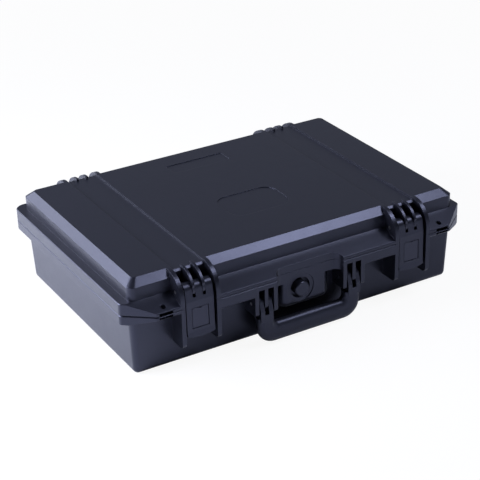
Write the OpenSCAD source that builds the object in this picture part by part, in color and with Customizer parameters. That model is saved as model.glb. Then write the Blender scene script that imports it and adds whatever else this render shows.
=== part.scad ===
// Laptop hard case: two moulded shells on a pair of back hinges, closed by two hanging latches.
// Units are millimetres. X runs across the case, -Y is the front with the handle, +Z is up.
// The origin is on the ground, midway between the shell walls.

/* [Case] */
// Width of the flat top panel
panel_width = 450; // [440:1:460]
// Depth of the flat top panel
panel_depth = 288; // [278:1:298]
// Height of the closed case
case_height = 128; // [126:0.5:132]
// Height of the plane where lid and base meet
parting_height = 86.5; // [84:0.5:88]
// Gap between lid and base at the parting plane
seam_gap = 0.3; // [0.2:0.05:0.4]
// Wall thickness of both shells
wall = 5; // [4.5:0.1:5.5]
// Run of the bevel round the lid's top
bevel_run = 10; // [8:0.5:12]
// Drop of the bevel round the lid's top
bevel_drop = 8.5; // [7:0.5:10]
// How far the base walls lean in from rim to floor
base_lean = 3.5; // [2:0.5:5]
// Corner radius of the lid wall
lid_corner = 9; // [8:0.5:10]
// Corner radius of the lid's top panel
panel_corner = 5.5; // [4:0.5:7]
// Corner radius of the base wall
base_corner = 9; // [8:0.5:11]
// Radius along the base's floor edge
floor_round = 7; // [5:0.5:9]

/* [Rim] */
// Overhang of the rim at the sides
side_overhang = 12; // [11:0.5:14]
// Overhang of the rim at the front
front_overhang = 24.5; // [23.5:0.5:26]
// Overhang of the rim at the back
back_overhang = 10; // [9:0.5:12]
// Height of the lid's rim at the sides and back
lid_rim = 16; // [14:0.5:18]
// Height of the lid's rim at the front edge, below its slope
lid_front_rim = 5; // [4:0.5:6]
// Height of the base's rim at the sides and back
base_rim = 12.5; // [11:0.5:14]
// Height of the base's rim at the front edge, outside the latches
base_front_rim = 4; // [3.5:0.5:5]
// Height of the base's front band between the latches
band_height = 14; // [12:0.5:15]
// Width of the slanted cut at each front corner of the rim
facet_width = 34; // [30:1:38]
// Depth of the slanted cut at each front corner of the rim
facet_depth = 27.5; // [25:0.5:30]
// Corner radius of the rim at the back
rim_corner = 14; // [10:1:16]
// Corner radius at the ends of the slanted cuts
facet_corner = 6; // [4:1:8]
// Thickness of the rim's skin round its hidden pockets
rim_skin = 3; // [2.5:0.5:3.5]
// Cut along the rims' outer edges and along the seam
edge_cut = 0.9; // [0.5:0.1:1.2]
// Radius of the padlock holes through both rims
padlock_radius = 3.25; // [2.5:0.25:3.75]
// Distance of the padlock holes from the middle
padlock_x = 200; // [196:1:203]
// Distance of the padlock holes in front of the lid wall
padlock_out = 17; // [15:0.5:18]
// Half the width of the rim's block around a padlock hole
eye_half = 9; // [7:0.5:10]
// Joint between that block and the rest of its rim
eye_gap = 0.05; // [0.02:0.01:0.1]

/* [Seal] */
// Distance of the seal groove from the wall's inner face
groove_inset = 1.2; // [1:0.1:1.4]
// Width of the seal groove
groove_width = 3.1; // [3:0.1:3.3]
// Depth of the seal groove
groove_depth = 4; // [3.5:0.5:5]
// Height of the seal strip in its groove
gasket_height = 2.6; // [2.4:0.1:2.7]
// Space left between the gasket and its groove
gasket_fit = 0.1; // [0.05:0.05:0.2]
// Width of the base's tongue, narrow so that the lid can swing off it
tongue_width = 0.9; // [0.7:0.1:1]
// Gap between the base's tongue and the groove or seal
tongue_gap = 0.3; // [0.25:0.05:0.4]

/* [Stations] */
// Distance of each latch and hinge station from the middle
station_x = 153.6; // [150:0.5:157]
// Clear width between the outer fins of a station
station_width = 42.4; // [41.8:0.2:43.6]
// Thickness of the outer fins and of the ribs under them
outer_fin = 5.5; // [5:0.5:6]
// Thickness of the inner fins
inner_fin = 3.4; // [3:0.1:3.8]
// Distance of the inner fins from the middle of the station
inner_fin_x = 6.8; // [6.5:0.1:7.1]
// Radius of the front fins' curve
fin_radius = 32; // [31:0.5:33]
// Radius of the back fins' curve
back_fin_radius = 30; // [29:0.5:31]
// How far the back fins reach out from the wall
back_fin_reach = 22; // [21.5:0.5:23]
// Height of the latch and hinge pins above the parting plane
pin_rise = 18.5; // [18:0.25:19]
// Distance of the latch and hinge pins from the lid wall
pin_out = 10.5; // [10.25:0.25:11]
// Radius of the latch and hinge pins
pin_radius = 2.4; // [2:0.1:2.6]
// Radial clearance of every pin in its bore
pin_clearance = 0.06; // [0.03:0.01:0.09]
// Radius of the round knuckles on the pins
knuckle_radius = 9; // [8.5:0.1:9.2]
// Side clearance between knuckles and fins
knuckle_gap = 0.4; // [0.3:0.05:0.6]
// Depth of the strap bands in the top panel
strap_depth = 1.5; // [1.2:0.1:1.8]
// Depth of the pocket behind the knuckles, into the lid wall
pocket_depth = 4; // [3.5:0.25:4.5]
// Height of the rib tips above the ground
rib_tip = 33.5; // [28:0.5:38]
// Thickness of the rim left in front of the wall inside a station
rim_lip = 2.5; // [2:0.25:3]

/* [Latch] */
// Width of the latch plate
latch_width = 37.4; // [36:0.2:38.6]
// Distance from pin to the latch plate's top edge
plate_top = 12.5; // [12:0.25:13.5]
// Distance from pin to the latch plate's bottom edge, at its middle
latch_length = 61; // [58:0.5:64]
// How far the plate's top edge stands out from the pin
plate_out_top = 11.2; // [10.9:0.1:11.5]
// How far the plate's bottom edge stands out from the pin
plate_out_bottom = 11.9; // [11.6:0.1:12.2]
// Thickness of the latch plate
plate_skin = 3.6; // [3.2:0.1:4]
// Thickness of the latch's side cheeks
cheek = 3; // [2.5:0.1:3.2]
// Bow of the latch plate's bottom edge
bottom_bow = 3; // [1:0.25:4]
// Width of the press button
button_width = 21.5; // [20:0.5:23]
// Height of the press button
button_height = 26; // [24:0.5:27]
// Depth of the button's middle below the pin
button_drop = 35.25; // [34.5:0.25:36]
// Gap round the button
button_gap = 0.7; // [0.5:0.05:0.9]
// Travel of the button
button_travel = 2.5; // [2:0.25:2.75]
// Width of the catch on the base that the latch closes on
catch_width = 28; // [24:1:29]
// How far the catch stands out from the base wall
catch_reach = 5.9; // [5.5:0.1:6]
// Gap between the latch hook and the catch
catch_gap = 0.5; // [0.4:0.05:0.6]

/* [Handle] */
// Width of the handle over its arms
handle_width = 148; // [146:1:150]
// Width of the handle's arms, seen from the front
bar_width = 22.4; // [21:0.2:23]
// Thickness of the handle's arms and bar
bar_depth = 16; // [15:0.5:17]
// Radius of the rounded bar section
bar_round = 6.5; // [5:0.5:7]
// Radius inside the handle's lower corners
bar_bend = 2.5; // [1.5:0.25:3.5]
// Height of the bar's middle above the ground
bar_height = 15.7; // [14.5:0.1:17]
// Distance of the bar's middle line in front of the lid wall
bar_out = 17.5; // [17:0.25:18]
// Length of the soft grip
grip_length = 92; // [86:1:93]
// Height of the soft grip
grip_height = 26; // [25:0.5:27]
// Thickness of the soft grip
grip_skin = 3; // [2.5:0.1:3.5]
// How far the soft grip stands out of the bar
grip_proud = 0.2; // [0.1:0.05:0.4]
// Joint between the soft grip and the bar
grip_gap = 0.1; // [0.05:0.05:0.2]
// Height of the handle pins above the ground
handle_pin_height = 60; // [58:0.5:62]
// Distance of the handle pins in front of the lid wall
handle_pin_out = 14; // [13:0.5:15]
// Radius of the handle pins
handle_pin_radius = 2.25; // [2:0.05:2.4]
// Radius of the handle's knuckles
handle_knuckle = 8.5; // [8:0.1:9]
// Distance of the handle's middle lugs from the middle of the case
lug_x = 63.9; // [63.4:0.1:64.4]
// Thickness of the handle's middle lugs
lug = 4.7; // [4.2:0.1:5]
// Thickness of each prong of the handle's forks
prong = 5.8; // [5.4:0.1:6.2]
// Thickness of the ribs outside and inside the forks
handle_rib = 5.4; // [5:0.1:5.8]
// Side clearance of the prongs against the middle lug
prong_gap = 0.6; // [0.4:0.05:0.8]
// Side clearance of the prongs against the ribs
rib_gap = 1.8; // [1.4:0.1:2.2]
// Height of the lower ends of the handle ribs
handle_rib_tip = 46; // [44:0.5:48]
// Height of the slots in the band over the prongs
prong_slot_top = 80.5; // [78:0.5:81.5]
// Half width of the bay cut into the rim behind the handle
bay_half = 48; // [46:0.5:49]
// Depth of the bay, back from the front edge
bay_depth = 11.5; // [10:0.5:12.5]

/* [Valve] */
// Half width of the valve block
block_half = 36; // [34:0.5:38]
// Height of the valve block's lower edge
block_bottom = 35; // [33:0.5:38]
// Rounding of the valve block
block_round = 11; // [9:0.5:12]
// Sideways place of the valve
valve_x = -8; // [-14:0.5:0]
// Height of the valve's axis
valve_height = 61; // [58:0.5:62]
// Radius of the valve's outer ring step
valve_ring = 19.5; // [18.5:0.25:20.5]
// Radius of the well round the valve cap
valve_well = 14; // [13:0.25:15]
// Depth of the well
well_depth = 7; // [5:0.5:8]
// Radius of the valve cap
cap_radius = 10; // [9.5:0.25:10.5]
// How far the cap stands out of the block
cap_out = 5.5; // [4:0.25:6]
// Radius of the valve's stem through the wall
stem_radius = 6; // [5:0.25:6.5]

/* [Foam] */
// Width of the laptop bay in the foam
laptop_width = 390; // [360:1:415]
// Depth of the laptop bay in the foam
laptop_depth = 262; // [240:1:272]
// Height of the laptop bay
laptop_height = 40; // [25:1:46]
// Thickness of the lid foam
lid_foam_height = 30; // [24:1:32]
// Clearance of the foam inside the walls
foam_gap = 2; // [1.5:0.5:3]

/* [Colours] */
// Moulded shell
shell_colour = [0.12, 0.13, 0.15];
// Moulded levers and handle
lever_colour = [0.14, 0.15, 0.17];
// Steel pins
steel_colour = [0.75, 0.76, 0.78];
// Rubber seals
rubber_colour = [0.05, 0.05, 0.05];
// Foam
foam_colour = [0.2, 0.2, 0.21];

/* [Hidden] */
$fn = 48;
// Overlap that lets joined shapes merge
eps = 0.01;
// Outer faces of the walls
wall_x = panel_width / 2 + bevel_run;
wall_y = panel_depth / 2 + bevel_run;
rim_x = wall_x + side_overhang;
rim_front = wall_y + front_overhang;
rim_back = wall_y + back_overhang;
lid_low = parting_height + seam_gap;
// Heights along the outside
lid_side_top = parting_height + lid_rim;
lid_front_top = parting_height + lid_front_rim;
base_side_low = parting_height - base_rim;
base_front_low = parting_height - base_front_rim;
band_low = parting_height - band_height;
wall_top = case_height - bevel_drop;
// Station faces, measured outward from the middle of the case
pin_u = wall_y + pin_out;
pin_z = parting_height + pin_rise;
station_half = station_width / 2;
pocket_u = wall_y - pocket_depth;
lip_u = wall_y + rim_lip;
lip_top = pin_z - knuckle_radius + 1;
bump = 4;
inner_slot = inner_fin + 2 * knuckle_gap;
// Slots round the inner fins, swept about the pin
slot_radius = 13.1;
// The latch plate's front and back faces
plate_slope = (plate_out_bottom - plate_out_top) / (latch_length - plate_top);
hook_u = wall_y + catch_reach + catch_gap;
catch_top = parting_height - 18;
catch_low = parting_height - 25.5;
// Wall behind the button, with a shallow seat for its spring
back_wall = 2.4;
spring_radius = 4;
spring_seat = hook_u + back_wall - 1.2;
// Top of the latch hook, clear of the pressed button
hook_top = -(button_drop + button_height / 2 + 1.3);
// Handle faces
bar_u = wall_y + bar_out;
handle_pin_u = wall_y + handle_pin_out;
arm_x = handle_width / 2 - bar_width / 2;
// Radius of the middle line in the handle's lower corners
bar_turn = bar_bend + bar_width / 2;
prong_in = lug_x - lug / 2 - prong_gap - prong;
prong_out = lug_x + lug / 2 + prong_gap + prong;
rib_in = prong_in - rib_gap - handle_rib;
rib_out = prong_out + rib_gap;
handle_pin_length = rib_out + handle_rib - rib_in;
// Valve faces
bay_u = rim_front - bay_depth;
boss_u = wall_y - 7;
boss_half = 15.5;
stem_in = boss_u - 8;
base_inner_x = wall_x - wall;
base_inner_y = wall_y - wall;
floor_x = wall_x - base_lean;
floor_y = wall_y - base_lean;

function arc(u, z, r, from, to, steps) =
    [for (i = [0 : steps]) let (a = from + (to - from) * i / steps) [u + r * cos(a), z + r * sin(a)]];

function plate_face(drop) = plate_out_top + plate_slope * (drop - plate_top);

// Sub-part to draw, or all of them

// Shared shapes

// A flat outline with round corners
module rounded(w, d, r) {
    square([w - 2 * r, d], center = true);
    square([w, d - 2 * r], center = true);
    for (x = [-1, 1], y = [-1, 1])
        translate([x * (w / 2 - r), y * (d / 2 - r)])
            circle(r);
}

// An outline drawn as (outward, up), stretched along X
module along_x(length) {
    rotate([90, 0, 90])
        linear_extrude(length, center = true)
            children();
}

// Outward is +Y in every station; this turns it to the front
module to_front() {
    mirror([0, 1, 0])
        children();
}

// The rim's outline: wide at the front, cut across its front corners
module rim_outline(inset) {
    f = facet_corner;
    hull() {
        for (s = [-1, 1]) {
            translate([s * (rim_x - facet_width - f * 0.6), -rim_front + f])
                circle(f - inset);
            translate([s * (rim_x - f), -rim_front + facet_depth + f * 0.6])
                circle(f - inset);
            translate([s * (rim_x - rim_corner), rim_back - rim_corner])
                circle(rim_corner - inset);
        }
    }
}

// A slab of that outline with its outer edges cut off
module rim_slab(low, high) {
    hull() {
        translate([0, 0, low + edge_cut])
            linear_extrude(high - low - 2 * edge_cut)
                rim_outline(0);
        translate([0, 0, low])
            linear_extrude(high - low)
                rim_outline(edge_cut);
    }
}

// Everything outward of u at a station's front or back, between two heights
module station_cut(u, low, high, half) {
    translate([-half, u, low])
        cube([2 * half, 60, high - low]);
}

module at_stations() {
    for (x = [-station_x, station_x])
        translate([x, 0, 0])
            children();
}

module pin_bore(length, u, z, r) {
    translate([0, u, z])
        rotate([0, 90, 0])
            cylinder(h = length, r = r, center = true);
}

// A ring that follows the walls, between two distances from their inner face
module wall_ring(inner, outer, low, high) {
    r = lid_corner - wall;
    translate([0, 0, low])
        linear_extrude(high - low)
            difference() {
                rounded(2 * (base_inner_x + outer), 2 * (base_inner_y + outer), r + outer);
                rounded(2 * (base_inner_x + inner), 2 * (base_inner_y + inner), r + inner);
            }
}

// Lid

module lid_form(inset) {
    hull() {
        translate([0, 0, lid_low - (inset > 0 ? 1 : 0)])
            linear_extrude(wall_top - lid_low - inset * 0.5 + (inset > 0 ? 1 : 0))
                rounded(2 * (wall_x - inset), 2 * (wall_y - inset), max(lid_corner - inset, 2));
        translate([0, 0, case_height - inset - 0.1])
            linear_extrude(0.1)
                rounded(panel_width - 1.1 * inset, panel_depth - 1.1 * inset, panel_corner);
    }
}

// The slope of the lid's front rim, from the wall down to its thin edge
module lid_front_slope() {
    fall = (lid_side_top - lid_front_top) / front_overhang;
    edge = lid_front_top + edge_cut * fall;
    to_front()
        along_x(2 * rim_x + 10)
            polygon([[wall_y - eps, lid_side_top], [rim_front - edge_cut, edge],
                [rim_front + 5, edge - 1.2 * (5 + edge_cut)],
                [rim_front + 5, lid_side_top + 10], [wall_y - eps, lid_side_top + 10]]);
}

module lid_rim_solid() {
    difference() {
        rim_slab(lid_low, lid_side_top);
        lid_front_slope();
    }
}

// Room of the block around one padlock hole, through both rims
module eye_room(s, spare) {
    translate([s * padlock_x - eye_half - spare, -rim_front - 5, base_side_low - 10])
        cube([2 * (eye_half + spare), rim_front + 5 - wall_y - padlock_out + eye_half + spare,
            base_rim + lid_rim + 20]);
}

// The hole for the shackle, through both rims
module padlock_hole(s) {
    translate([s * padlock_x, -wall_y - padlock_out, base_side_low - 10])
        cylinder(h = base_rim + lid_rim + 20, r = padlock_radius);
}

// The base rim's block around a padlock hole
module base_eye(s) {
    color(shell_colour)
        difference() {
            intersection() {
                base_rim_solid();
                eye_room(s, 0);
            }
            padlock_hole(s);
        }
}

module base_eye_left() {
    base_eye(-1);
}

module base_eye_right() {
    base_eye(1);
}

// The lid rim's block around a padlock hole
module lid_eye(s) {
    color(shell_colour)
        difference() {
            intersection() {
                lid_rim_solid();
                eye_room(s, 0);
            }
            padlock_hole(s);
        }
}

module lid_eye_left() {
    lid_eye(-1);
}

module lid_eye_right() {
    lid_eye(1);
}

// The part of the rim in front of the handle that is cut away, with round ends
module bay_cut(low, high) {
    w = 2 * bay_half;
    translate([0, 0, low])
        linear_extrude(high - low)
            difference() {
                translate([-bay_half, -rim_front - 10])
                    square([w, bay_depth + 10]);
                for (s = [-1, 1])
                    translate([s * bay_half, -bay_u])
                        difference() {
                            square(2 * bay_depth, center = true);
                            translate([-s * bay_depth, -bay_depth])
                                circle(bay_depth);
                            translate([-s * (2 * bay_depth + eps) - bay_depth, -3 * bay_depth])
                                square([2 * bay_depth, 4 * bay_depth]);
                            translate([-2 * bay_depth, -2 * bay_depth - bay_depth])
                                square([4 * bay_depth, 2 * bay_depth]);
                        }
            }
}

module outer_fin_front() {
    along_x(outer_fin)
        polygon(concat(arc(rim_front - fin_radius, case_height - fin_radius, fin_radius, 90, 0, 18),
            [[rim_front, lid_low], [pocket_u + 1, lid_low], [pocket_u + 1, wall_top],
            [panel_depth / 2 + 1, case_height - 3], [panel_depth / 2 - 0.5, case_height]]));
}

module inner_fin_front() {
    low = lip_top;
    along_x(inner_fin)
        polygon(concat(arc(rim_front - fin_radius, case_height - fin_radius, fin_radius, 90, 31, 16),
            arc(pin_u, pin_z, knuckle_radius + 0.7, 22, -110, 12),
            [[pocket_u - 1, low - 2], [pocket_u - 1, wall_top],
            [panel_depth / 2 + 1, case_height - 3.5], [panel_depth / 2 - 0.5, case_height]]));
}

module fin_back(thick) {
    reach = wall_y + back_fin_reach;
    along_x(thick)
        polygon(concat(arc(reach - back_fin_radius, case_height - back_fin_radius, back_fin_radius, 90, 0, 16),
            [[reach, pin_z - 9], [wall_y + back_overhang, pin_z - 15], [pocket_u - 1, pin_z - 15],
            [pocket_u - 1, wall_top], [panel_depth / 2 + 1, case_height - 3.5],
            [panel_depth / 2 - 0.5, case_height]]));
}

// Hollows under the rim's skin, open at the parting plane
module lid_rim_pockets() {
    bays = 3;
    run = 2 * (wall_y - 16) / bays;
    for (s = [-1, 1], i = [0 : bays - 1])
        translate([s * (wall_x + (side_overhang - rim_skin + 1.5) / 2), -wall_y + 16 + (i + 0.5) * run,
            parting_height - 1])
            linear_extrude(lid_rim - rim_skin + 1)
                square([side_overhang - rim_skin - 1.5, run - rim_skin], center = true);
    for (x = [-1, 1])
        to_front()
            translate([x * (station_x - station_half - outer_fin + rib_out + handle_rib) / 2, 0, 0])
                along_x(station_x - station_half - outer_fin - rib_out - handle_rib - 2 * rim_skin)
                    polygon([[wall_y + 1.5, parting_height - 1], [rim_front - rim_skin, parting_height - 1],
                        [rim_front - rim_skin, lid_front_top - rim_skin + 1],
                        [wall_y + 1.5, lid_side_top - rim_skin - 1]]);
    for (x = [-82, 0, 82])
        translate([x, wall_y + (back_overhang - rim_skin + 1.5) / 2, parting_height - 1])
            linear_extrude(lid_rim - rim_skin + 1)
                square([76, back_overhang - rim_skin - 1.5], center = true);
}

module lid_shell() {
    color(shell_colour)
        difference() {
            union() {
                difference() {
                    union() {
                        lid_form(0);
                        lid_rim_solid();
                    }
                    difference() {
                        lid_form(wall);
                        // Thicker wall behind the knuckle pockets
                        at_stations()
                            for (s = [0, 1])
                                mirror([0, s, 0])
                                    translate([-station_half - 3, pocket_u - bump, parting_height + 6.5])
                                        cube([station_width + 6, bump + 10, 60]);
                    }
                    lid_rim_pockets();
                    bay_cut(parting_height - 1, lid_side_top + 1);
                    at_stations()
                        for (s = [0, 1])
                            mirror([0, s, 0]) {
                                station_cut(lip_u, parting_height - 1, lip_top + eps, station_half);
                                station_cut(pocket_u, lip_top, case_height + 1, station_half);
                            }
                    at_stations()
                        translate([-station_half, -wall_y - 40, case_height - strap_depth])
                            cube([station_width, 2 * wall_y + 80, 10]);
                    // Label recess near the hinge and name recess near the handle, both bare
                    translate([-1, 101, case_height - 0.8])
                        linear_extrude(2)
                            rounded(85, 26, 1.5);
                    translate([-0.5, -43, case_height - 0.7])
                        linear_extrude(2)
                            rounded(86, 61, 18);
                }
                at_stations() {
                    to_front() {
                        for (s = [-1, 1]) {
                            translate([s * (station_half + outer_fin / 2), 0, 0])
                                outer_fin_front();
                            translate([s * inner_fin_x, 0, 0])
                                inner_fin_front();
                        }
                    }
                    for (s = [-1, 1]) {
                        translate([s * (station_half + outer_fin / 2), 0, 0])
                            fin_back(outer_fin);
                        translate([s * inner_fin_x, 0, 0])
                            fin_back(inner_fin);
                    }
                }
            }
            wall_ring(groove_inset, groove_inset + groove_width, parting_height - 1, lid_low + groove_depth);
            at_stations()
                for (s = [0, 1])
                    mirror([0, s, 0])
                        pin_bore(station_width + 2 * outer_fin + 1, pin_u, pin_z, pin_radius + pin_clearance);
            for (s = [-1, 1])
                eye_room(s, eye_gap);
        }
}

module lid_gasket() {
    color(rubber_colour)
        wall_ring(groove_inset + gasket_fit, groove_inset + groove_width - gasket_fit,
            lid_low + groove_depth - gasket_height, lid_low + groove_depth - gasket_fit);
}

// Base

module base_form(inset) {
    rb = max(floor_round - inset, 3);
    rt = base_corner - inset;
    top = parting_height + (inset > 0 ? 1 : 0);
    hull() {
        translate([0, 0, inset])
            linear_extrude(1)
                square([2 * (floor_x - inset - rb), 2 * (floor_y - inset - rb)], center = true);
        for (x = [-1, 1], y = [-1, 1]) {
            translate([x * (floor_x - inset - rb), y * (floor_y - inset - rb), inset + rb])
                sphere(rb, $fn = 32);
            translate([x * (wall_x - inset - rt), y * (wall_y - inset - rt), top - 1])
                cylinder(h = 1, r = rt, $fn = 32);
        }
    }
}

// The front rim outside the latches thins toward its edge from below
module base_front_slope() {
    fall = (base_front_low - base_side_low) / front_overhang;
    edge = base_front_low - edge_cut * fall;
    to_front()
        along_x(2 * rim_x + 10)
            polygon([[wall_y - 8, base_side_low - 8 * fall], [rim_front - edge_cut, edge],
                [rim_front + 5, edge + 1.2 * (5 + edge_cut)],
                [rim_front + 5, base_side_low - 20], [wall_y - 8, base_side_low - 20]]);
}

module base_rim_solid() {
    band_half = station_x;
    difference() {
        rim_slab(base_side_low, parting_height);
        base_front_slope();
    }
    to_front()
        along_x(2 * band_half)
            polygon([[wall_y - 3, band_low], [rim_front - edge_cut, band_low],
                [rim_front, band_low + edge_cut], [rim_front, parting_height - edge_cut],
                [rim_front - edge_cut, parting_height], [wall_y - 3, parting_height]]);
}

module base_rim_pockets() {
    bays = 3;
    run = 2 * (wall_y - 16) / bays;
    for (s = [-1, 1], i = [0 : bays - 1])
        translate([s * (wall_x + (side_overhang - rim_skin + 1.5) / 2), -wall_y + 16 + (i + 0.5) * run,
            base_side_low - 1])
            linear_extrude(base_rim - rim_skin + 1)
                square([side_overhang - rim_skin - 1.5, run - rim_skin], center = true);
    for (x = [-1, 1])
        to_front()
            translate([x * (station_x - station_half - outer_fin + rib_out + handle_rib) / 2, 0, 0])
                translate([0, (wall_y + 1.5 + rim_front - rim_skin) / 2, band_low - 1])
                    linear_extrude(band_height - rim_skin + 1)
                        square([station_x - station_half - outer_fin - rib_out - handle_rib - 2 * rim_skin,
                            front_overhang - rim_skin - 1.5], center = true);
    for (x = [-82, 0, 82])
        translate([x, wall_y + (back_overhang - rim_skin + 1.5) / 2, base_side_low - 1])
            linear_extrude(base_rim - rim_skin + 1)
                square([76, back_overhang - rim_skin - 1.5], center = true);
}

// A flat rib that guards a station, with a round lower tip
module station_rib(reach) {
    r = 6;
    root = wall_y - base_lean - 1;
    along_x(outer_fin)
        polygon(concat([[root, parting_height], [root, rib_tip]], arc(reach - r, rib_tip + r, r, -90, 0, 6),
            [[reach, parting_height]]));
}

// The base's half of a hinge: three knuckles on a block
module hinge_knuckles() {
    spans = [[-latch_width / 2, -inner_fin_x - inner_slot / 2], [-inner_fin_x + inner_slot / 2,
        inner_fin_x - inner_slot / 2], [inner_fin_x + inner_slot / 2, latch_width / 2]];
    for (s = spans)
        translate([(s[0] + s[1]) / 2, 0, 0])
            along_x(s[1] - s[0]) {
                translate([pin_u, pin_z])
                    circle(knuckle_radius);
                polygon([[lip_u + 0.6, parting_height - 2], [lip_u + 0.6, pin_z - 3], [pin_u, pin_z],
                    [pin_u + knuckle_radius - 0.5, pin_z - 2], [pin_u + knuckle_radius - 1, parting_height - 2]]);
            }
    along_x(latch_width)
        polygon([[wall_y - 3, parting_height], [pin_u + knuckle_radius - 1, parting_height],
            [pin_u + knuckle_radius - 1, base_side_low], [wall_y + 1, base_side_low - 22],
            [wall_y - 3, base_side_low - 24]]);
}

module valve_block() {
    r = block_round;
    hull() {
        for (x = [-1, 1]) {
            translate([x * (block_half - r), -bay_u + r, block_bottom + r])
                sphere(r, $fn = 40);
            translate([x * (block_half - r), -bay_u + r, parting_height - base_rim])
                cylinder(h = 1, r = r, $fn = 40);
            translate([x * (block_half - 3), -wall_y + 4, block_bottom])
                cylinder(h = parting_height - base_rim - block_bottom + 1, r = 3, $fn = 16);
        }
    }
}

module handle_ribs() {
    r = 3;
    lug_drop = 7;
    root = wall_y - 2;
    to_front()
        for (s = [-1, 1]) {
            for (x = [rib_in + handle_rib / 2, rib_out + handle_rib / 2])
                translate([s * x, 0, 0])
                    along_x(handle_rib)
                        polygon(concat([[root, parting_height - 2], [root, handle_rib_tip]],
                            arc(rim_front - r, handle_rib_tip + r, r, -90, 0, 5),
                            [[rim_front, parting_height - 2]]));
            translate([s * lug_x, 0, 0])
                along_x(lug)
                    polygon(concat([[root, parting_height - 2], [root, handle_pin_height - lug_drop]],
                        arc(rim_front - 5, handle_pin_height - lug_drop + 5, 5, -90, 0, 6),
                        [[rim_front, parting_height - 2]]));
        }
}

module valve_bores() {
    translate([valve_x, 0, valve_height])
        rotate([90, 0, 0]) {
            translate([0, 0, bay_u - 1])
                cylinder(h = 5, r = valve_ring);
            translate([0, 0, bay_u - well_depth])
                cylinder(h = 20, r = valve_well);
            translate([0, 0, base_inner_y - 20])
                cylinder(h = 60, r = stem_radius + 0.1);
        }
}

module base_shell() {
    color(shell_colour)
        difference() {
            union() {
                difference() {
                    union() {
                        base_form(0);
                        base_rim_solid();
                        valve_block();
                    }
                    base_form(wall);
                    base_rim_pockets();
                    bay_cut(band_low - 1, parting_height + 1);
                    // Slots in the band for the handle's prongs
                    for (s = [-1, 1])
                        translate([s * lug_x - (rib_out - rib_in - handle_rib) / 2, -rim_front - 5, band_low - 5])
                            cube([rib_out - rib_in - handle_rib, front_overhang + 2,
                                prong_slot_top - band_low + 5]);
                    at_stations()
                        to_front()
                            station_cut(lip_u, base_side_low - 10, parting_height + 1, station_half);
                    // Shallow panels under the floor, between three skid rails
                    difference() {
                        translate([0, 0, -1])
                            linear_extrude(2.2)
                                rounded(2 * floor_x - 60, 2 * floor_y - 60, 12);
                        for (s = [-1, 0, 1])
                            translate([s * station_x - 9, -wall_y, -2])
                                cube([18, 2 * wall_y, 5]);
                    }
                }
                wall_ring(groove_inset + tongue_gap, groove_inset + tongue_gap + tongue_width,
                    parting_height - 3, lid_low + groove_depth - gasket_height - tongue_gap);
                at_stations() {
                    for (s = [-1, 1]) {
                        translate([s * (station_half + outer_fin / 2), 0, 0]) {
                            to_front()
                                station_rib(rim_front);
                            station_rib(wall_y + back_fin_reach);
                        }
                    }
                    hinge_knuckles();
                    to_front()
                        translate([-catch_width / 2, wall_y - 3, catch_low])
                            cube([catch_width, catch_reach + 3, catch_top - catch_low]);
                }
                handle_ribs();
                // Thicker wall inside, behind the valve
                translate([valve_x - boss_half, -wall_y + 1, valve_height - boss_half])
                    cube([2 * boss_half, wall_y - 1 - boss_u, 2 * boss_half]);
            }
            at_stations()
                pin_bore(station_width, pin_u, pin_z, pin_radius + pin_clearance);
            for (s = [-1, 1])
                translate([s * (rib_in + handle_pin_length / 2), 0, 0])
                    pin_bore(handle_pin_length + 1, -handle_pin_u, handle_pin_height,
                        handle_pin_radius + pin_clearance);
            valve_bores();
            for (s = [-1, 1])
                eye_room(s, eye_gap);
        }
}

// Pins

module station_pin(x, u) {
    translate([x, 0, 0])
        pin_bore(station_width + 2 * outer_fin, u, pin_z, pin_radius);
}

module hinge_pin_left() {
    color(steel_colour)
        station_pin(-station_x, pin_u);
}

module hinge_pin_right() {
    color(steel_colour)
        station_pin(station_x, pin_u);
}

module latch_left_pin() {
    color(steel_colour)
        station_pin(-station_x, -pin_u);
}

module latch_right_pin() {
    color(steel_colour)
        station_pin(station_x, -pin_u);
}

// Latches, drawn outward along +Y about the pin, then turned to the front

// The plate's outline from (drop below pin, outward), with its lip
module plate_outline() {
    t = plate_skin;
    polygon([[knuckle_radius * cos(11), knuckle_radius * sin(11)], [plate_out_top, -plate_top],
        [plate_face(latch_length - 8), -(latch_length - 8)], [plate_out_bottom + 0.8, -(latch_length - 2)],
        [plate_out_bottom + 0.8, -latch_length], [plate_out_bottom - t + 1.6, -latch_length],
        [plate_face(latch_length - 8) - t, -(latch_length - 8)], [plate_out_top - t, -plate_top],
        [1, -6], [0, 0]]);
}

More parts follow.
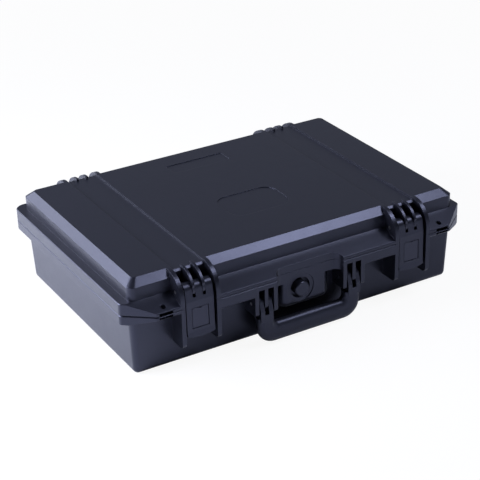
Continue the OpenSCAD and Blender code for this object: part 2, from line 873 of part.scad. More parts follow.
module latch_lever() {
    half = latch_width / 2;
    bow = (half * half + bottom_bow * bottom_bow) / (2 * bottom_bow);
    back = hook_u - pin_u;
    translate([0, pin_u, pin_z])
        intersection() {
            difference() {
                union() {
                    along_x(latch_width) {
                        circle(knuckle_radius);
                        plate_outline();
                        // Hook that closes on the base's catch
                        polygon([[plate_face(latch_length - 8) - 1, -latch_length + 6],
                            [back + 1, -latch_length + 8], [back, -latch_length + 10], [back, catch_low - pin_z - 1],
                            [back + back_wall, catch_low - pin_z - 1], [back + 3, hook_top + 0.8],
                            [plate_face(latch_length - 8) - 1, hook_top]]);
                        // Wall behind the button's spring
                        polygon([[back, catch_low - pin_z - 2], [back + back_wall, catch_low - pin_z - 2],
                            [back + back_wall, -button_drop + 8], [back, -button_drop + 8]]);
                    }
                    for (s = [-1, 1])
                        translate([s * (half - cheek / 2), 0, 0])
                            along_x(cheek)
                                polygon([[2, -6], [plate_out_top - 1, -plate_top],
                                    [plate_face(latch_length - 8) - 1, -latch_length + 6],
                                    [back + 1, -latch_length + 8], [back, -latch_length + 10],
                                    [back, -20], [back + 2, -12]]);
                }
                for (s = [-1, 1])
                    translate([s * inner_fin_x, 0, 0])
                        rotate([0, 90, 0])
                            cylinder(h = inner_slot, r = slot_radius, center = true);
                pin_bore(latch_width + 1, 0, 0, pin_radius + pin_clearance);
                translate([-button_width / 2 - button_gap, plate_face(button_drop) - plate_skin - 2.5,
                    -button_drop - button_height / 2 - button_gap])
                    cube([button_width + 2 * button_gap, plate_skin + 6, button_height + 2 * button_gap]);
                translate([0, spring_seat - pin_u, -button_drop])
                    rotate([-90, 0, 0])
                        cylinder(h = 3, r = spring_radius + 0.4);
            }
            translate([0, 40, bow - latch_length])
                rotate([90, 0, 0])
                    cylinder(h = 80, r = bow, $fn = 180);
        }
}

module press_button() {
    top = button_drop - button_height / 2;
    low = button_drop + button_height / 2;
    lip = 0.8;
    sink = 0.4;
    back = plate_skin + 0.35;
    translate([0, pin_u, pin_z]) {
        difference() {
            along_x(button_width)
                polygon([[plate_face(top) - sink, -top], [plate_face(low) - sink, -low],
                    [plate_face(low) - back - 1, -low], [plate_face(top) - back - 1, -top]]);
            translate([-2, plate_face(top) - 1.5, -top - 1.2])
                cube([4, 3, 3]);
        }
        along_x(button_width + 2 * lip + 2 * button_gap)
            polygon([[plate_face(top) - back, -top + lip], [plate_face(low) - back, -low - lip],
                [plate_face(low) - back - 1.8, -low - lip], [plate_face(top) - back - 1.8, -top + lip]]);
    }
}

// The button's spring, drawn as short as it is with the button pressed
module button_spring() {
    turns = 3;
    wire = 0.7;
    front = plate_face(button_drop - spring_radius) - plate_skin - 2.17;
    length = front - button_travel - (spring_seat - pin_u) - 0.3;
    translate([0, pin_u, pin_z - button_drop])
        rotate([-90, 0, 0])
            translate([0, 0, front - length])
                difference() {
                    cylinder(h = length, r = spring_radius);
                    translate([0, 0, -1])
                        cylinder(h = length + 2, r = spring_radius - wire);
                    for (i = [1 : turns])
                        translate([0, 0, i * length / (turns + 1) - 0.15])
                            difference() {
                                cylinder(h = 0.3, r = spring_radius + 1);
                                translate([0, 0, -1])
                                    cylinder(h = 3, r = spring_radius - 0.35);
                            }
                }
}

module at_latch(s) {
    translate([s * station_x, 0, 0])
        to_front()
            children();
}

module latch_left() {
    color(lever_colour)
        at_latch(-1)
            latch_lever();
}

module latch_right() {
    color(lever_colour)
        at_latch(1)
            latch_lever();
}

module latch_left_button() {
    color(lever_colour)
        at_latch(-1)
            press_button();
}

module latch_right_button() {
    color(lever_colour)
        at_latch(1)
            press_button();
}

module latch_left_spring() {
    color(steel_colour)
        at_latch(-1)
            button_spring();
}

module latch_right_spring() {
    color(steel_colour)
        at_latch(1)
            button_spring();
}

// Handle

// The rounded section of the bar: w across the arm, d through it
module bar_section(w, d, r) {
    rounded(w, d, r);
}

module handle_corner(s) {
    r = bar_turn;
    translate([s * (arm_x - r), -bar_u, bar_height + r])
        rotate([90, 0, 0])
            rotate([0, 0, s > 0 ? -90 : 180])
                rotate_extrude(angle = 90)
                    translate([r, 0])
                        bar_section(bar_width, bar_depth, bar_round);
}

module fork_profile() {
    up = handle_pin_height;
    k = handle_knuckle;
    front = bar_u + bar_depth / 2;
    back = bar_u - bar_depth / 2;
    translate([handle_pin_u, up])
        circle(k);
    polygon([[handle_pin_u - k, up], [back, up - 16], [back, up - 24], [front, up - 24],
        [front, up - 10], [handle_pin_u + k - 0.6, up + 3], [handle_pin_u, up + k - 1]]);
}

module handle_bar() {
    reach = arm_x - bar_turn;
    bottom_of_fork = handle_pin_height - 24;
    cut = grip_skin - grip_proud;
    color(lever_colour) {
        difference() {
            union() {
                // Core of the bar, inside the grip
                translate([0, -bar_u, bar_height])
                    rotate([90, 0, 90])
                        linear_extrude(grip_length + 2, center = true)
                            bar_section(bar_depth - 2 * cut, bar_width - 2 * cut, bar_round - cut);
                for (s = [-1, 1]) {
                    // Short end of the bar beside the grip
                    translate([s * (grip_length / 2 + reach) / 2, -bar_u, bar_height])
                        rotate([90, 0, 90])
                            linear_extrude(reach - grip_length / 2, center = true)
                                bar_section(bar_depth, bar_width, bar_round);
                    handle_corner(s);
                    translate([s * arm_x, -bar_u, bar_height + bar_turn])
                        linear_extrude(bottom_of_fork - bar_height - bar_turn + 4)
                            bar_section(bar_width, bar_depth, bar_round);
                    for (x = [prong_in + prong / 2, prong_out - prong / 2])
                        translate([s * x, 0, 0])
                            to_front()
                                along_x(prong)
                                    fork_profile();
                    // Shoulder that joins the prongs to the arm
                    translate([s * (prong_in + prong_out) / 2, 0, 0])
                        to_front()
                            along_x(prong_out - prong_in)
                                polygon([[bar_u - bar_depth / 2, bottom_of_fork],
                                    [bar_u + bar_depth / 2, bottom_of_fork],
                                    [bar_u + bar_depth / 2, handle_pin_height - 15],
                                    [bar_u - bar_depth / 2, handle_pin_height - 15]]);
                }
            }
            for (s = [-1, 1])
                translate([s * (rib_in + handle_pin_length / 2), 0, 0])
                    pin_bore(handle_pin_length, -handle_pin_u, handle_pin_height,
                        handle_pin_radius + pin_clearance);
        }
    }
}

module handle_grip() {
    cut = grip_skin - grip_proud - grip_gap;
    color(rubber_colour)
        translate([0, -bar_u, bar_height])
            rotate([90, 0, 90])
                linear_extrude(grip_length - 2 * grip_gap, center = true)
                    difference() {
                        bar_section(bar_depth + 2 * grip_proud, grip_height, bar_round + grip_proud);
                        bar_section(bar_depth - 2 * cut, bar_width - 2 * cut, bar_round - cut);
                    }
}

module handle_pin(s) {
    translate([s * (rib_in + handle_pin_length / 2), 0, 0])
        pin_bore(handle_pin_length, -handle_pin_u, handle_pin_height, handle_pin_radius);
}

module handle_pin_left() {
    color(steel_colour)
        handle_pin(-1);
}

module handle_pin_right() {
    color(steel_colour)
        handle_pin(1);
}

// Pressure valve, drawn along its axis from inside to outside

module at_valve() {
    translate([valve_x, 0, valve_height])
        rotate([90, 0, 0])
            children();
}

well_floor = bay_u - well_depth;
seal_height = 1.6;

module valve_body() {
    color(shell_colour)
        at_valve()
            difference() {
                union() {
                    translate([0, 0, well_floor + seal_height])
                        cylinder(h = 2.2, r = cap_radius);
                    translate([0, 0, stem_in])
                        cylinder(h = well_floor + seal_height - stem_in + 1, r = stem_radius);
                }
                translate([0, 0, base_inner_y - 20])
                    cylinder(h = 60, r = 2.5);
                translate([0, 0, well_floor + seal_height + 1])
                    cylinder(h = 10, r = cap_radius - 2.5);
            }
}

module valve_cap() {
    low = well_floor + seal_height + 2.2;
    high = bay_u + cap_out;
    color(lever_colour)
        at_valve()
            difference() {
                union() {
                    translate([0, 0, low])
                        cylinder(h = high - low - 1.2, r = cap_radius);
                    translate([0, 0, high - 1.2 - eps])
                        cylinder(h = 1.2, r1 = cap_radius, r2 = cap_radius - 1.2);
                }
                translate([0, 0, low - 1])
                    cylinder(h = high - low - 2, r = cap_radius - 2);
            }
}

module valve_seal() {
    color(rubber_colour)
        at_valve()
            translate([0, 0, well_floor])
                difference() {
                    cylinder(h = seal_height, r = cap_radius - 0.8);
                    translate([0, 0, -1])
                        cylinder(h = 5, r = stem_radius + 0.1);
                }
}

module valve_membrane() {
    color(foam_colour)
        at_valve()
            translate([0, 0, well_floor + seal_height + 1])
                cylinder(h = 0.6, r = cap_radius - 2.6);
}

module valve_nut() {
    color(lever_colour)
        at_valve()
            translate([0, 0, boss_u - 5.5])
                difference() {
                    cylinder(h = 5.5, r = stem_radius + 4.5, $fn = 6);
                    translate([0, 0, -1])
                        cylinder(h = 10, r = stem_radius + 0.05);
                }
}

// Foam

module base_foam() {
    high = parting_height - 1;
    w = 2 * (floor_x - wall - foam_gap - 1.5);
    d = 2 * (floor_y - wall - foam_gap - 1.5);
    color(foam_colour)
        difference() {
            translate([0, 0, wall])
                linear_extrude(high - wall)
                    rounded(w, d, 8);
            translate([0, 0, high - laptop_height])
                linear_extrude(laptop_height + 5) {
                    rounded(laptop_width, laptop_depth, 10);
                    // Finger scoops
                    for (s = [-1, 1])
                        translate([s * laptop_width / 2, 0])
                            circle(16);
                }
            // Room for the valve's nut
            translate([valve_x - 2 * boss_half, -stem_in + 2 - wall_y, valve_height - 2 * boss_half])
                cube([4 * boss_half, wall_y, 100]);
        }
}

module lid_foam() {
    inner_top = case_height - wall;
    inset = wall + bump + foam_gap;
    color(foam_colour)
        translate([0, 0, inner_top - lid_foam_height])
            linear_extrude(lid_foam_height)
                rounded(2 * (wall_x - inset) - 14, 2 * (wall_y - inset) - 14, 8);
}

base_shell();
base_eye_left();
base_eye_right();
lid_shell();
lid_eye_left();
lid_eye_right();
lid_gasket();
hinge_pin_left();
hinge_pin_right();
latch_left();
latch_left_pin();
latch_left_button();
latch_left_spring();
latch_right();
latch_right_pin();
latch_right_button();
latch_right_spring();
handle_bar();
handle_grip();
handle_pin_left();
handle_pin_right();
valve_body();
valve_cap();
valve_seal();
valve_membrane();
valve_nut();
base_foam();
lid_foam();
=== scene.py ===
# %% [markdown]
# # A laptop hard case
# The case is moulded in black plastic: a ribbed lid and base, two hanging latches with press
# buttons, a folding handle, a pressure valve, steel pins and foam inside. Its real shapes come
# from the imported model, which never moves here. This lesson adds what a camera sees: the light,
# the skin of each material, and the soft pieces.

# %% Load the fixed model
import math
import bmesh
import bpy
from mathutils import Matrix, Vector


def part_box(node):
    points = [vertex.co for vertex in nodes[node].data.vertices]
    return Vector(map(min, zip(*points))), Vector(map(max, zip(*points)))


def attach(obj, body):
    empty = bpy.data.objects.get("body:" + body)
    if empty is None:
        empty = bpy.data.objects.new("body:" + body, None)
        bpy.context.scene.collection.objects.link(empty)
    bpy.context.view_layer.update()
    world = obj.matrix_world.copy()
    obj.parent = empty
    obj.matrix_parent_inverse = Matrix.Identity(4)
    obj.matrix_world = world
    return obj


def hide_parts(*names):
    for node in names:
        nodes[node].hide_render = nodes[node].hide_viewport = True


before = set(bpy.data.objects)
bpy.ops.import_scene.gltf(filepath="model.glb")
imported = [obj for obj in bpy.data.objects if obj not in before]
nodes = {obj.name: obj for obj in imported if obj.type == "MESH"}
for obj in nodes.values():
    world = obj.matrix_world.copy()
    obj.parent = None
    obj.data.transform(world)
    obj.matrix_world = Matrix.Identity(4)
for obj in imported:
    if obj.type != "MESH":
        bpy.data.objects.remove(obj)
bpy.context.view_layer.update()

# %% [markdown]
# ## The camera
# The photographer stood in front and to the left and looked down by 27 degrees with a long lens.
# A camera can be aimed with a constraint or with angles. Here its three axes are written as the
# columns of a matrix, because they were worked out from the straight edges of the case.

# %% Camera
eye = Vector((-0.86097667, -1.51128256, 0.93755185))
to_right = Vector((0.86109765, -0.50781816, -0.02513072))
to_top = Vector((0.24972756, 0.37936943, 0.89090683))
camera_data = bpy.data.cameras.new("photo_camera")
camera_data.lens = 110.34
camera_data.sensor_width = 36.0
camera_data.shift_x = -0.00148
camera_data.shift_y = 0.00073
camera = bpy.data.objects.new("photo_camera", camera_data)
axes = Matrix((to_right, to_top, to_right.cross(to_top))).transposed()
camera.matrix_world = Matrix.Translation(eye) @ axes.to_4x4()
bpy.context.collection.objects.link(camera)
bpy.context.scene.camera = camera
bpy.context.scene.view_settings.view_transform = "Standard"
print("camera is", round(eye.length, 3), "m from the origin")

# %% [markdown]
# ## Sums on sockets
# A finish is a small web of nodes, and most of its nodes are plain sums. One class wraps a
# socket, so that a sum is written as one in Python, and each operator adds one Math node. Every
# other node comes from one method that takes its type, its settings and its inputs.

# %% A socket that can be added and multiplied
class Wire:
    def __init__(self, book, socket):
        self.book = book
        self.socket = socket

    def sum_with(self, operation, first, second):
        return self.book.node("ShaderNodeMath", {"operation": operation}, {0: first, 1: second})

    def __add__(self, other):
        return self.sum_with("ADD", self, other)

    def __radd__(self, other):
        return self.sum_with("ADD", other, self)

    def __sub__(self, other):
        return self.sum_with("SUBTRACT", self, other)

    def __rsub__(self, other):
        return self.sum_with("SUBTRACT", other, self)

    def __mul__(self, other):
        return self.sum_with("MULTIPLY", self, other)

    def __rmul__(self, other):
        return self.sum_with("MULTIPLY", other, self)


# %% A book of nodes for one finish
class Book:
    def __init__(self, tree):
        self.tree = tree
        tree.nodes.clear()

    def node(self, kind, settings=None, inputs=None, output=0):
        made = self.tree.nodes.new(kind)
        for name, value in (settings or {}).items():
            setattr(made, name, value)
        for name, value in (inputs or {}).items():
            if isinstance(value, Wire):
                self.tree.links.new(value.socket, made.inputs[name])
            else:
                made.inputs[name].default_value = value
        return Wire(self, made.outputs[output]) if made.outputs else None


def finish_called(name):
    material = bpy.data.materials.new(name)
    material.use_nodes = True
    return material, Book(material.node_tree)


# %% [markdown]
# ## The studio
# The photo has a white ground and hardly a shadow. A round floor that curves up far away carries
# the case. It could be made white with more light, but then the black case would turn grey. So it
# glows a little by itself where the camera, metal or glass looks at it, and the lamps do the rest,
# which keeps the soft shadow of the case.

# %% Floor
ground = bmesh.new()
under_case = 0.0002
profile = ((0, 0), (3, 0), (9, 0), (10.4, 0.12), (11.4, 0.55), (12, 1.3), (12.2, 2.4))
line = [ground.verts.new((x, 0, z - under_case)) for x, z in profile]
ribs = [ground.edges.new(pair) for pair in zip(line, line[1:])]
bmesh.ops.spin(ground, geom=line + ribs, cent=(0, 0, 0), axis=(0, 0, 1), angle=2 * math.pi,
               steps=64, use_merge=True)
bmesh.ops.remove_doubles(ground, verts=ground.verts, dist=1e-5)
if min(ground.faces, key=lambda face: face.calc_center_median().length).normal.z < 0:
    bmesh.ops.reverse_faces(ground, faces=ground.faces)
floor_mesh = bpy.data.meshes.new("floor")
ground.to_mesh(floor_mesh)
ground.free()
for face in floor_mesh.polygons:
    face.use_smooth = True
floor = bpy.data.objects.new("floor", floor_mesh)
bpy.context.collection.objects.link(floor)

floor_finish, book = finish_called("floor_white")
camera_ray = book.node("ShaderNodeLightPath", output="Is Camera Ray")
glossy_ray = book.node("ShaderNodeLightPath", output="Is Glossy Ray")
through_ray = book.node("ShaderNodeLightPath", output="Is Transmission Ray")
where = book.node("ShaderNodeTexCoord", {}, {}, output="Object")
away = book.node("ShaderNodeVectorMath", {"operation": "LENGTH"}, {0: where}, output="Value")
far = book.node("ShaderNodeMapRange", {}, {"Value": away, "From Min": 0.6, "From Max": 2.6})
seen_straight = 0.92 + far * 0.08
seen_in_shine = 0.07 + far * 0.45
seen = camera_ray * seen_straight + (glossy_ray + through_ray) * seen_in_shine
paint = book.node("ShaderNodeBsdfDiffuse", {}, {"Color": (0.88, 0.88, 0.89, 1)})
hue = book.node("ShaderNodeMix", {"data_type": "RGBA"},
                {0: camera_ray, 6: (0.78, 0.83, 1.0, 1), 7: (1, 1, 1, 1)}, output=2)
glow = book.node("ShaderNodeEmission", {}, {"Color": hue, "Strength": 1.0})
both = book.node("ShaderNodeMixShader", {}, {0: seen, 1: paint, 2: glow})
book.node("ShaderNodeOutputMaterial", {}, {"Surface": both})
floor_mesh.materials.append(floor_finish)
print("floor has", len(floor_mesh.polygons), "faces")

# %% [markdown]
# ## The light
# The bright bevels along the lid and the dark front walls tell where the light came from: a lamp
# above and a little to the right of the front, and a wide soft one low at the back left. The left
# walls are bright because they mirror the floor beside them, so a third lamp lights that floor.
# The rest of the room is dim, more so in front, or the black would look flat.

# %% World
world = bpy.data.worlds.new("studio")
bpy.context.scene.world = world
world.use_nodes = True
book = Book(world.node_tree)
toward = book.node("ShaderNodeTexCoord", output="Generated")
axis = book.node("ShaderNodeSeparateXYZ", {}, {0: toward}, output="Y")
back = book.node("ShaderNodeMapRange", {}, {"Value": axis, "From Min": -0.3, "From Max": 0.75})
air = book.node("ShaderNodeBackground", {},
                {"Color": (0.74, 0.79, 1.0, 1), "Strength": 0.055 + back * 0.30})
book.node("ShaderNodeOutputWorld", {}, {"Surface": air})


# %% Lamps
# each lamp faces the origin from its direction, at a distance in metres
def soft_lamp(name, toward, distance, width, height, radiance, tint):
    data = bpy.data.lights.new(name, "AREA")
    data.shape = "RECTANGLE"
    data.size = width
    data.size_y = height
    data.energy = radiance * math.pi * width * height
    data.color = tint
    lamp = bpy.data.objects.new(name, data)
    away = Vector(toward).normalized()
    facing = away.to_track_quat("Z", "Y").to_matrix().to_4x4()
    lamp.matrix_world = Matrix.Translation(away * distance) @ facing
    bpy.context.collection.objects.link(lamp)
    print(name, "gives", round(data.energy, 1), "W")


cool = (0.80, 0.84, 1.0)
soft_lamp("lamp_overhead", (0.443, -0.34, 0.836), 2.0, 0.85, 0.6, 14.5, cool)
soft_lamp("lamp_back_left", (-0.52, 0.76, 0.42), 2.2, 1.3, 0.9, 5.5, cool)
soft_lamp("lamp_left_floor", (-0.86, 0.16, 0.50), 0.95, 0.6, 0.5, 19.0, cool)

# %% [markdown]
# ## Moulded plastic
# The shells come from a spark-textured mould: a fine, even grain that breaks up the shine. The
# grain is a noise of about a millimetre that lifts the surface by a few hundredths of one. The
# edges of a moulding are a little round. A Bevel node rounds them for the light alone, so the
# straight faces of the model stay as they are.


# %% One plastic recipe for all black mouldings
def plastic(name, colour, roughness, grain_size, grain_lift, edge, shine=0.5):
    material, book = finish_called(name)
    where = book.node("ShaderNodeTexCoord", {}, {}, output="Object")
    grain = book.node("ShaderNodeTexNoise", {},
                      {"Vector": where, "Scale": 1.0 / grain_size, "Detail": 2.0})
    cloud = book.node("ShaderNodeTexNoise", {}, {"Vector": where, "Scale": 9.0, "Detail": 3.0})
    rub = book.node("ShaderNodeTexNoise", {}, {"Vector": where, "Scale": 60.0, "Detail": 4.0})
    soft = book.node("ShaderNodeBevel", {"samples": 6}, {"Radius": edge})
    lift = book.node("ShaderNodeBump", {}, {"Strength": 1.0, "Distance": grain_lift,
                                            "Height": grain, "Normal": soft})
    darker = [channel * 0.86 for channel in colour]
    lighter = [channel * 1.14 for channel in colour]
    shade = book.node("ShaderNodeMix", {"data_type": "RGBA"},
                      {0: cloud, 6: (*darker, 1), 7: (*lighter, 1)}, output=2)
    rough = roughness - 0.05 + cloud * 0.05 + rub * 0.06
    skin = book.node("ShaderNodeBsdfPrincipled", {},
                     {"Base Color": shade, "Roughness": rough, "Specular IOR Level": shine,
                      "Specular Tint": (0.70, 0.73, 1.0, 1), "Normal": lift})
    book.node("ShaderNodeOutputMaterial", {}, {"Surface": skin})
    return material


shell_plastic = plastic("shell_plastic", (0.0050, 0.0053, 0.0080), 0.32, 0.0009, 0.00003, 0.0005)
lever_plastic = plastic("lever_plastic", (0.0075, 0.0079, 0.0115), 0.35, 0.0009, 0.00004, 0.0006)
button_plastic = plastic("button_plastic", (0.0130, 0.0132, 0.0185), 0.34, 0.0009, 0.00003, 0.0005)
handle_plastic = plastic("handle_plastic", (0.0065, 0.0069, 0.0100), 0.38, 0.0009, 0.00004, 0.0008)
valve_plastic = plastic("valve_plastic", (0.0070, 0.0074, 0.0110), 0.36, 0.0009, 0.00003, 0.0005)
grip_rubber = plastic("grip_rubber", (0.0070, 0.0075, 0.0108), 0.42, 0.0012, 0.00006, 0.0006)
seal_rubber = plastic("seal_rubber", (0.014, 0.014, 0.015), 0.60, 0.0010, 0.00008, 0.0003, 0.3)


# %% [markdown]
# ## Steel, cloth and foam
# The pins and springs are drawn wire, with fine lines round them. The valve's vent is a woven
# disc, so two crossed waves make its threads. The foam is a mass of open cells. A Voronoi noise
# darkens the middle of each cell, which is painted shade in the open pores, and it also bumps
# the surface.


# %% Steel, vent cloth and foam
def steel(name):
    material, book = finish_called(name)
    where = book.node("ShaderNodeTexCoord", {}, {}, output="Object")
    turned = book.node("ShaderNodeMapping", {}, {"Vector": where, "Scale": (4000.0, 300.0, 300.0)})
    lines = book.node("ShaderNodeTexNoise", {}, {"Vector": turned, "Scale": 1.0, "Detail": 2.0})
    bump = book.node("ShaderNodeBump", {}, {"Strength": 0.6, "Distance": 0.00002, "Height": lines})
    skin = book.node("ShaderNodeBsdfPrincipled", {},
                     {"Base Color": (0.62, 0.62, 0.63, 1), "Metallic": 1.0,
                      "Roughness": 0.24 + lines * 0.12, "Normal": bump})
    book.node("ShaderNodeOutputMaterial", {}, {"Surface": skin})
    return material


def vent_cloth(name):
    material, book = finish_called(name)
    where = book.node("ShaderNodeTexCoord", {}, {}, output="Object")
    threads = [book.node("ShaderNodeTexWave", {"bands_direction": axis},
                         {"Vector": where, "Scale": 600.0}) for axis in ("X", "Z")]
    weave = threads[0] * threads[1]
    bump = book.node("ShaderNodeBump", {},
                     {"Strength": 1.0, "Distance": 0.00005, "Height": weave})
    shade = book.node("ShaderNodeMix", {"data_type": "RGBA"},
                      {0: weave, 6: (0.55, 0.55, 0.54, 1), 7: (0.78, 0.78, 0.77, 1)}, output=2)
    skin = book.node("ShaderNodeBsdfPrincipled", {},
                     {"Base Color": shade, "Roughness": 0.85, "Normal": bump})
    book.node("ShaderNodeOutputMaterial", {}, {"Surface": skin})
    return material


def cell_foam(name):
    material, book = finish_called(name)
    where = book.node("ShaderNodeTexCoord", {}, {}, output="Object")
    cells = book.node("ShaderNodeTexVoronoi", {}, {"Vector": where, "Scale": 900.0})
    cloud = book.node("ShaderNodeTexNoise", {}, {"Vector": where, "Scale": 14.0, "Detail": 3.0})
    # darker in the middle of each cell: painted shade in the open pores; the cloud adds random tone
    pore_shade_and_tone = cells * 0.8 + cloud * 0.3
    shade = book.node("ShaderNodeMix", {"data_type": "RGBA"},
                      {0: pore_shade_and_tone, 6: (0.020, 0.020, 0.022, 1), 7: (0.075, 0.075, 0.082, 1)},
                      output=2)
    bump = book.node("ShaderNodeBump", {},
                     {"Strength": 1.0, "Distance": 0.0004, "Height": cells})
    skin = book.node("ShaderNodeBsdfPrincipled", {},
                     {"Base Color": shade, "Roughness": 0.95, "Specular IOR Level": 0.2,
                      "Normal": bump})
    book.node("ShaderNodeOutputMaterial", {}, {"Surface": skin})
    return material


pin_steel = steel("pin_steel")
spring_steel = steel("spring_steel")
vent_disc_cloth = vent_cloth("vent_disc_cloth")
charcoal_foam = cell_foam("charcoal_foam")

# %% Give each node its finish
finish_of = {"lid_gasket": seal_rubber, "valve_seal": seal_rubber, "handle_bar": handle_plastic,
             "handle_grip": grip_rubber, "valve_body": valve_plastic, "valve_cap": valve_plastic,
             "valve_nut": valve_plastic, "valve_membrane": vent_disc_cloth,
             "base_foam": charcoal_foam, "lid_foam": charcoal_foam}
by_word = {"pin": pin_steel, "spring": spring_steel, "button": button_plastic,
           "shell": shell_plastic, "eye": shell_plastic, "latch": lever_plastic}
for name, piece in nodes.items():
    chosen = finish_of.get(name) or next(by_word[word] for word in by_word if word in name)
    for slot in piece.material_slots:
        slot.material = chosen
print("finishes given to", len(nodes), "nodes")

# %% [markdown]
# ## Whole shells
# The model keeps the blocks around the padlock holes as pieces of their own, with a hair-thin
# joint, so that the holes stay open for contact. On the real case they are one moulding with their
# shell. A copy of each shell takes its two blocks in: the walls of the joint go, and the edges that
# face each other there are merged. Flat faces would shade in bands if their normals were worked
# out anew, so each corner keeps the normal that it has in the model.
#
# One flaw is left. A face counts as a wall when all its corners lie beside the joint, and that is
# true of each block's narrow front face as well, so a dark slot shows in the rim there. The open
# edges printed below are those slots. Asking for the middle of the face too would close them.


# %% Copies of model nodes
same_normal = 0.01


def merged_copy(*names):
    bm = bmesh.new()
    for name in names:
        mesh = nodes[name].data.copy()
        kept = mesh.attributes.new("kept_normal", "FLOAT_VECTOR", "CORNER")
        kept.data.foreach_set("vector", [c for n in mesh.corner_normals for c in n.vector])
        bm.from_mesh(mesh)
        bpy.data.meshes.remove(mesh)
    bmesh.ops.remove_doubles(bm, verts=bm.verts, dist=1e-6)
    return bm


def mark_creases(bm):
    # an edge is a crease where the normals of its two faces differ at a shared corner
    kept = bm.loops.layers.float_vector["kept_normal"]
    for edge in bm.edges:
        at = {}
        for face in edge.link_faces:
            for loop in face.loops:
                if loop.vert in edge.verts:
                    at.setdefault(loop.vert.index, []).append(loop[kept])
        edge.smooth = all(len(pair) == 2 and (pair[0] - pair[1]).length < same_normal
                          for pair in at.values())


def piece_from(bm, name, body, finish, sharp_from=None):
    mesh = bpy.data.meshes.new(name)
    bm.to_mesh(mesh)
    bm.free()
    if sharp_from:
        for face in mesh.polygons:
            face.use_smooth = True
        mesh.set_sharp_from_angle(angle=sharp_from)
    else:
        kept = mesh.attributes["kept_normal"].data
        mesh.normals_split_custom_set([corner.vector.copy() for corner in kept])
    mesh.materials.append(finish)
    piece = bpy.data.objects.new(name, mesh)
    bpy.context.collection.objects.link(piece)
    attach(piece, body)
    print(name, "has", len(mesh.polygons), "faces")
    return piece


# %% Join the padlock blocks
eye_low, eye_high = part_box("lid_eye_right")
joint_slack = 0.00008
joint_width = 0.00009


def beside_joint(point):
    across, along = abs(point.x), point.y
    side_gap = min(abs(across - eye_low[0]), abs(across - eye_high[0]))
    at_side = side_gap < joint_slack and along < eye_high[1] + joint_slack
    in_width = eye_low[0] - joint_slack < across < eye_high[0] + joint_slack
    at_back = abs(along - eye_high[1]) < joint_slack and in_width
    return at_side or at_back


def joined_shell(shell, *blocks):
    bm = merged_copy(shell, *blocks)
    walls = [face for face in bm.faces
             if abs(face.normal.z) < 0.01 and all(beside_joint(v.co) for v in face.verts)]
    bmesh.ops.delete(bm, geom=walls, context="FACES")
    near = [v for v in bm.verts if beside_joint(v.co)]
    bmesh.ops.remove_doubles(bm, verts=near, dist=joint_width)
    open_edges = sum(len(e.link_faces) != 2 for e in bm.edges)
    print(shell, "joined, open edges:", open_edges)
    return bm


base_bm = joined_shell("base_shell", "base_eye_left", "base_eye_right")
mark_creases(base_bm)
base_whole = piece_from(base_bm, "base_shell_whole", "base", shell_plastic)
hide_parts("base_shell", "base_eye_left", "base_eye_right")

# %% [markdown]
# The lid's copy also gets a form that the plain model has too shallow: the bands across the top
# lie about 2.7 mm deep, which gives each band its dark edge.

# %% Lid
lid_bm = joined_shell("lid_shell", "lid_eye_left", "lid_eye_right")
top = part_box("lid_shell")[1][2]
band_centre, band_half = 0.1536, 0.02125
band_drop, sink = 0.0015, 0.0012
chamfer_start, chamfer_run = 0.1445, 1.18
moved = set()
lid_bm.verts.index_update()
for vert in lid_bm.verts:
    in_band = abs(abs(vert.co.x) - band_centre) < band_half
    if in_band and abs(vert.co.z - (top - band_drop)) < 1e-5:
        moved.add(vert.index)
        vert.co.z -= sink
        if abs(vert.co.y) > chamfer_start:
            vert.co.y += math.copysign(sink * chamfer_run, vert.co.y)
print("vertices moved on the lid:", len(moved))
lid_bm.normal_update()
kept = lid_bm.loops.layers.float_vector["kept_normal"]
for face in lid_bm.faces:
    if any(v.index in moved for v in face.verts):
        for loop in face.loops:
            loop[kept] = face.normal
mark_creases(lid_bm)
lid_whole = piece_from(lid_bm, "lid_shell_whole", "lid", shell_plastic)
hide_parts("lid_shell", "lid_eye_left", "lid_eye_right")

# %% [markdown]
# ## The foam
# The base holds a thick block with a bay for the laptop, and the lid holds a sheet of egg-crate
# foam that presses on it. The block is a copy of the model's plain solid with its edges cut
# soft. The egg-crate is a fine grid whose lower side is pushed up and down in rows.


# %% Base foam
block = merged_copy("base_foam")
bmesh.ops.dissolve_limit(block, angle_limit=0.01, verts=block.verts, edges=block.edges)
sharp = [e for e in block.edges if len(e.link_faces) == 2 and e.calc_face_angle() > 0.6]
bmesh.ops.bevel(block, geom=sharp, offset=0.0012, segments=2, profile=0.5, material=-1,
                affect="EDGES", clamp_overlap=True)
foam_block = piece_from(block, "base_foam_block", "base", charcoal_foam, sharp_from=0.5)
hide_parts("base_foam")

# %% Lid foam
low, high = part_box("lid_foam")
wide, deep = high[0] - low[0], high[1] - low[1]
pitch, wave_height, side_band = 0.030, 0.011, 0.012
egg = bmesh.new()
bmesh.ops.create_grid(egg, x_segments=round(wide / pitch * 8), y_segments=round(deep / pitch * 8),
                      size=0.5)
bmesh.ops.scale(egg, vec=(wide - 0.002, deep - 0.002, 1.0), verts=egg.verts)
for vert in egg.verts:
    across, along = (math.cos(2 * math.pi * c / pitch) for c in (vert.co.x, vert.co.y))
    wave = 0.5 + 0.5 * across * along
    to_side = min(wide / 2 - abs(vert.co.x), deep / 2 - abs(vert.co.y))
    edge = max(min(1.0, to_side / side_band), 0.0)
    vert.co.z = low[2] + 0.0005 + wave_height * wave * edge
rim = [e for e in egg.edges if e.is_boundary]
walls = bmesh.ops.extrude_edge_only(egg, edges=rim)["geom"]
for vert in (part for part in walls if isinstance(part, bmesh.types.BMVert)):
    vert.co.z = high[2]
bmesh.ops.holes_fill(egg, edges=[e for e in egg.edges if e.is_boundary], sides=0)
bmesh.ops.recalc_face_normals(egg, faces=egg.faces)
lid_pad = piece_from(egg, "lid_foam_pad", "lid", charcoal_foam, sharp_from=1.2)
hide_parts("lid_foam")

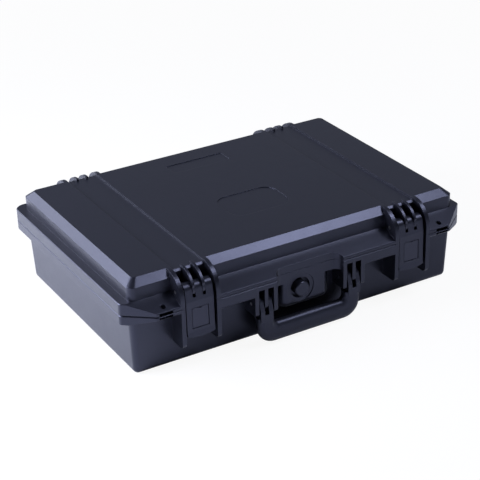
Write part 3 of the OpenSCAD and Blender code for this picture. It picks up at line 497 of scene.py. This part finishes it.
# %% [markdown]
# ## Rubber parts
# The seal strip and the valve's washer are moulded in rubber, which never has a sharp edge. Each
# is a copy of its plain solid, with its edges rounded by a bevel of three steps.


# %% Rounded rubber
def rounded_rubber(node, name, body, size):
    copy = merged_copy(node)
    bmesh.ops.dissolve_limit(copy, angle_limit=0.01, verts=copy.verts, edges=copy.edges)
    sharp = [e for e in copy.edges if len(e.link_faces) == 2 and e.calc_face_angle() > 0.6]
    bmesh.ops.bevel(copy, geom=sharp, offset=size, segments=3, profile=0.5, material=-1,
                    affect="EDGES", clamp_overlap=True)
    piece = piece_from(copy, name, body, seal_rubber, sharp_from=0.9)
    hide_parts(node)


rounded_rubber("lid_gasket", "lid_seal_strip", "lid", 0.0007)
rounded_rubber("valve_seal", "valve_seal_washer", "base", 0.0004)

# %% [markdown]
# ## The grip
# The handle has a soft skin moulded over its bar and round both lower corners, with no step where
# it ends. It could be a curve with a round section, but it is flatter than it is tall and fuller
# outside its corners than inside. So it is a loft: the handle's outer and inner outline are walked
# together, a ring with soft corners spans each pair of points, and the rings are bridged.

# %% Outlines of the handle
half_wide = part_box("handle_bar")[1][0]
grip_low, grip_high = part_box("handle_grip")
middle_y = (grip_low[1] + grip_high[1]) / 2
arm_width, arm_top = 0.0224, 0.0360
outer_round, inner_round = 0.0225, 0.0062
corner_steps = 8


def walk(side, round_off, base_line):
    path = [(side, arm_top), (side, (arm_top + base_line + round_off) / 2)]
    for step in range(corner_steps + 1):
        turn = math.pi / 2 * step / corner_steps
        path.append((side - round_off * (1 - math.cos(turn)),
                     base_line + round_off * (1 - math.sin(turn))))
    path += [(side * 0.45, base_line), (side * 0.2, base_line)]
    return path + [(-x, z) for x, z in reversed(path)]


outside = walk(half_wide, outer_round, grip_low[2])
inside = walk(half_wide - arm_width, inner_round, grip_high[2])
print("walks of", len(outside), "and", len(inside), "points")

# %% Loft of the grip
skin_proud, squareness = 0.0002, 2.5
sleeve = bmesh.new()
rings = []
for number, ((ox, oz), (ix, iz)) in enumerate(zip(outside, inside)):
    made = bmesh.ops.create_circle(sleeve, segments=32, radius=1.0)["verts"]
    centre = Vector(((ox + ix) / 2, middle_y, (oz + iz) / 2))
    across = Vector((ox - ix, 0, oz - iz))
    proud = 0.0 if number in (0, len(outside) - 1) else skin_proud
    half_tall = across.length / 2 + proud
    half_deep = (grip_high[1] - grip_low[1]) / 2 - skin_proud + proud
    across.normalize()
    for vert in made:
        u, v = (math.copysign(abs(c) ** (2 / squareness), c) for c in (vert.co.x, vert.co.y))
        vert.co = centre + across * (u * half_tall) + Vector((0, v * half_deep, 0))
    rings.append([e for e in sleeve.edges if all(v in made for v in e.verts)])
for first, second in zip(rings, rings[1:]):
    bmesh.ops.bridge_loops(sleeve, edges=first + second)
bmesh.ops.holes_fill(sleeve, edges=[e for e in sleeve.edges if e.is_boundary], sides=0)
bmesh.ops.recalc_face_normals(sleeve, faces=sleeve.faces)
grip = piece_from(sleeve, "handle_grip_sleeve", "handle", grip_rubber, sharp_from=1.0)
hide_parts("handle_grip")
